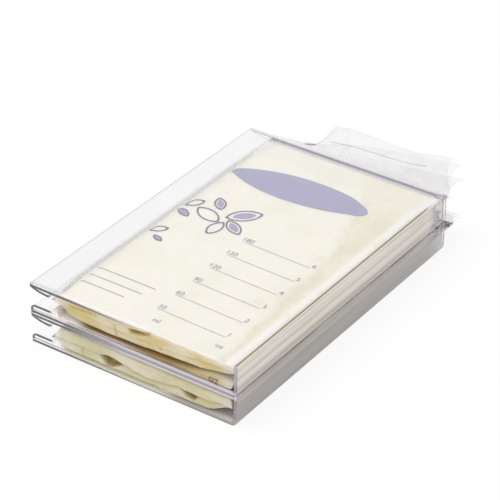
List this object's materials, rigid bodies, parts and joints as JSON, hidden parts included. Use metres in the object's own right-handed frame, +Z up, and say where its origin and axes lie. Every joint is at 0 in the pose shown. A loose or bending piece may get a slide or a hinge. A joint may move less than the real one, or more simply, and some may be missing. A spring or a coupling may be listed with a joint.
{
  "type": "breast milk storage freezer box",
  "caption": "Clear C-profile sleeves stacked flat, open at both ends and along a railed side, holding flat-lying zip-top milk bags that pull out by their flaps.",
  "frame": {"origin": "centre of the lower sleeve's underside, on the surface it stands on", "axes": "+X across the sleeves towards the closed side wall, +Y along them towards the bag mouths and flaps, +Z up"},
  "size_m": [0.13, 0.2246, 0.0528],
  "materials": {
    "clear_sleeve": "polished, crystal clear",
    "bag_film": "soft translucent film",
    "milk": "cream liquid behind film",
    "zip": "tinted flexible strip",
    "flap_film": "frosted film, lightly creased"
  },
  "bodies": {
    "lower_box": {"lower_sleeve": "clear_sleeve"},
    "upper_box": {"upper_sleeve": "clear_sleeve"},
    "bag_1": {"bag_1_pouch": "bag_film", "bag_1_milk": "milk", "bag_1_zip_rib": "zip", "bag_1_zip_groove": "zip", "bag_1_front_flap": "flap_film", "bag_1_back_flap": "flap_film"},
    "bag_2": {"bag_2_pouch": "bag_film", "bag_2_milk": "milk", "bag_2_zip_rib": "zip", "bag_2_zip_groove": "zip", "bag_2_front_flap": "flap_film", "bag_2_back_flap": "flap_film"},
    "bag_3": {"bag_3_pouch": "bag_film", "bag_3_milk": "milk", "bag_3_zip_rib": "zip", "bag_3_zip_groove": "zip", "bag_3_front_flap": "flap_film", "bag_3_back_flap": "flap_film"}
  },
  "joints": [
    {"name": "upper_box_lift", "type": "slide", "parent": "lower_box", "child": "upper_box", "axis": [0, 0, 1], "range_m": [0, 0.08]},
    {"name": "bag_1_pull", "type": "slide", "parent": "upper_box", "child": "bag_1", "axis": [0, 1, 0], "range_m": [0, 0.23], "deforming": ["bag_2_front_flap"]},
    {"name": "bag_2_pull", "type": "slide", "parent": "upper_box", "child": "bag_2", "axis": [0, 1, 0], "range_m": [0, 0.23]},
    {"name": "bag_3_pull", "type": "slide", "parent": "lower_box", "child": "bag_3", "axis": [0, 1, 0], "range_m": [0, 0.23]}
  ]
}
